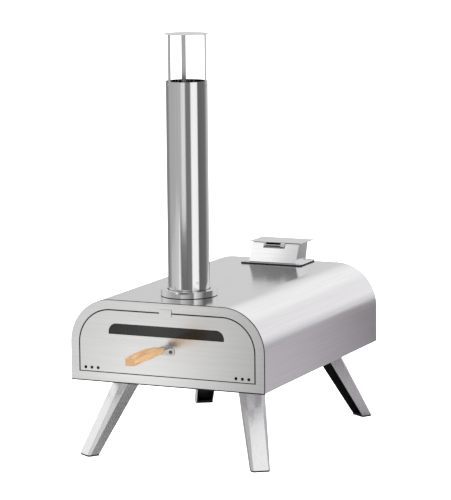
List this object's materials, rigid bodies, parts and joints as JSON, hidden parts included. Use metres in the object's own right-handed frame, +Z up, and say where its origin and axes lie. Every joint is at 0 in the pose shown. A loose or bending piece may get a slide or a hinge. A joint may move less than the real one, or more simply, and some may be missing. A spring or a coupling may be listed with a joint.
{
  "type": "wood fired pizza oven",
  "caption": "Portable outdoor pizza oven with a D-shaped steel body, lift-out door with window, chimney with rain cap, rear fuel hopper with lid, and folding legs.",
  "frame": {"origin": "middle of the whole object's footprint, on the floor under the feet", "axes": "+Z up, the door and its wooden handle towards -Y, +X to the right seen from the door"},
  "size_m": [0.4, 0.7764, 0.8044],
  "materials": {
    "body_steel": "brushed",
    "front_steel": "brushed",
    "inner_steel": "heat-dulled",
    "chimney_steel": "polished",
    "cap_steel": "satin",
    "hopper_steel": "brushed",
    "handle_steel": "polished",
    "tray_steel": "brushed",
    "leg_steel": "satin",
    "fixings": "polished",
    "wood": "oiled",
    "dark_glass": "glossy",
    "black_plastic": "matte",
    "gasket": "matte",
    "blanket": "fibrous",
    "stone": "matte"
  },
  "bodies": {
    "oven_body": {"outer_shell": "body_steel", "front_frame": "front_steel", "front_gasket": "gasket", "rear_panel": "body_steel", "bottom_pan": "body_steel", "inner_liner": "inner_steel", "insulation_blanket": "blanket", "chamber_floor": "inner_steel", "stone_rail_right": "inner_steel", "stone_rail_left": "inner_steel", "pizza_stone": "stone", "flame_baffle": "inner_steel", "burner_housing": "inner_steel", "chimney_collar": "chimney_steel", "collar_gasket": "gasket", "flue_spigot": "inner_steel", "hopper_gasket": "gasket", "hopper_chute": "hopper_steel", "hopper_hinge_pin": "fixings", "hopper_screws": "fixings", "leg_bracket_front_right": "leg_steel", "leg_bracket_front_left": "leg_steel", "leg_bracket_rear_right": "leg_steel", "leg_bracket_rear_left": "leg_steel", "leg_pin_front_right": "fixings", "leg_pin_front_left": "fixings", "leg_pin_rear_right": "fixings", "leg_pin_rear_left": "fixings", "bracket_screws": "fixings"},
    "door": {"door_panel": "front_steel", "door_liner": "inner_steel", "door_glass": "dark_glass", "glass_frame": "inner_steel", "glass_frame_screws": "fixings", "door_handle_bracket": "handle_steel", "door_rivets": "fixings", "door_grip": "wood", "grip_screws": "fixings"},
    "chimney": {"chimney_pipe": "chimney_steel", "pipe_screw": "fixings", "chimney_cap": "cap_steel", "cap_strap_1": "cap_steel", "cap_strap_2": "cap_steel", "cap_strap_3": "cap_steel", "cap_rivets": "fixings"},
    "lid": {"hopper_lid": "hopper_steel"},
    "burner_tray": {"tray_box": "tray_steel", "fire_grate": "inner_steel", "tray_face": "tray_steel", "tray_pull_bracket": "handle_steel", "tray_pull": "wood", "tray_screws": "fixings"},
    "leg_assembly_front_right": {"leg_front_right": "leg_steel", "foot_front_right": "black_plastic"},
    "leg_assembly_front_left": {"leg_front_left": "leg_steel", "foot_front_left": "black_plastic"},
    "leg_assembly_rear_right": {"leg_rear_right": "leg_steel", "foot_rear_right": "black_plastic"},
    "leg_assembly_rear_left": {"leg_rear_left": "leg_steel", "foot_rear_left": "black_plastic"}
  },
  "joints": [
    {"name": "door_lift_out", "type": "slide", "parent": "oven_body", "child": "door", "axis": [0, -1, 0], "range_m": [0, 0.25]},
    {"name": "chimney_lift_off", "type": "slide", "parent": "oven_body", "child": "chimney", "axis": [0, 0, 1], "range_m": [0, 0.05]},
    {"name": "lid_hinge", "type": "hinge", "parent": "oven_body", "child": "lid", "pos_m": [0, 0.28915, 0.3446], "axis": [1, 0, 0], "range_deg": [0, 95]},
    {"name": "tray_slide", "type": "slide", "parent": "oven_body", "child": "burner_tray", "axis": [0, 1, 0], "range_m": [0, 0.15]},
    {"name": "leg_fold_front_right", "type": "hinge", "parent": "oven_body", "child": "leg_assembly_front_right", "pos_m": [0.12986, -0.13645, 0.136], "axis": [0.8358, 0.549, 0], "range_deg": [0, 120]},
    {"name": "leg_fold_front_left", "type": "hinge", "parent": "oven_body", "child": "leg_assembly_front_left", "pos_m": [-0.12986, -0.13645, 0.136], "axis": [0.8358, -0.549, 0], "range_deg": [0, 120]},
    {"name": "leg_fold_rear_right", "type": "hinge", "parent": "oven_body", "child": "leg_assembly_rear_right", "pos_m": [0.12986, 0.24294, 0.136], "axis": [-0.8358, 0.549, 0], "range_deg": [0, 120]},
    {"name": "leg_fold_rear_left", "type": "hinge", "parent": "oven_body", "child": "leg_assembly_rear_left", "pos_m": [-0.12986, 0.24294, 0.136], "axis": [-0.8358, -0.549, 0], "range_deg": [0, 120]}
  ]
}
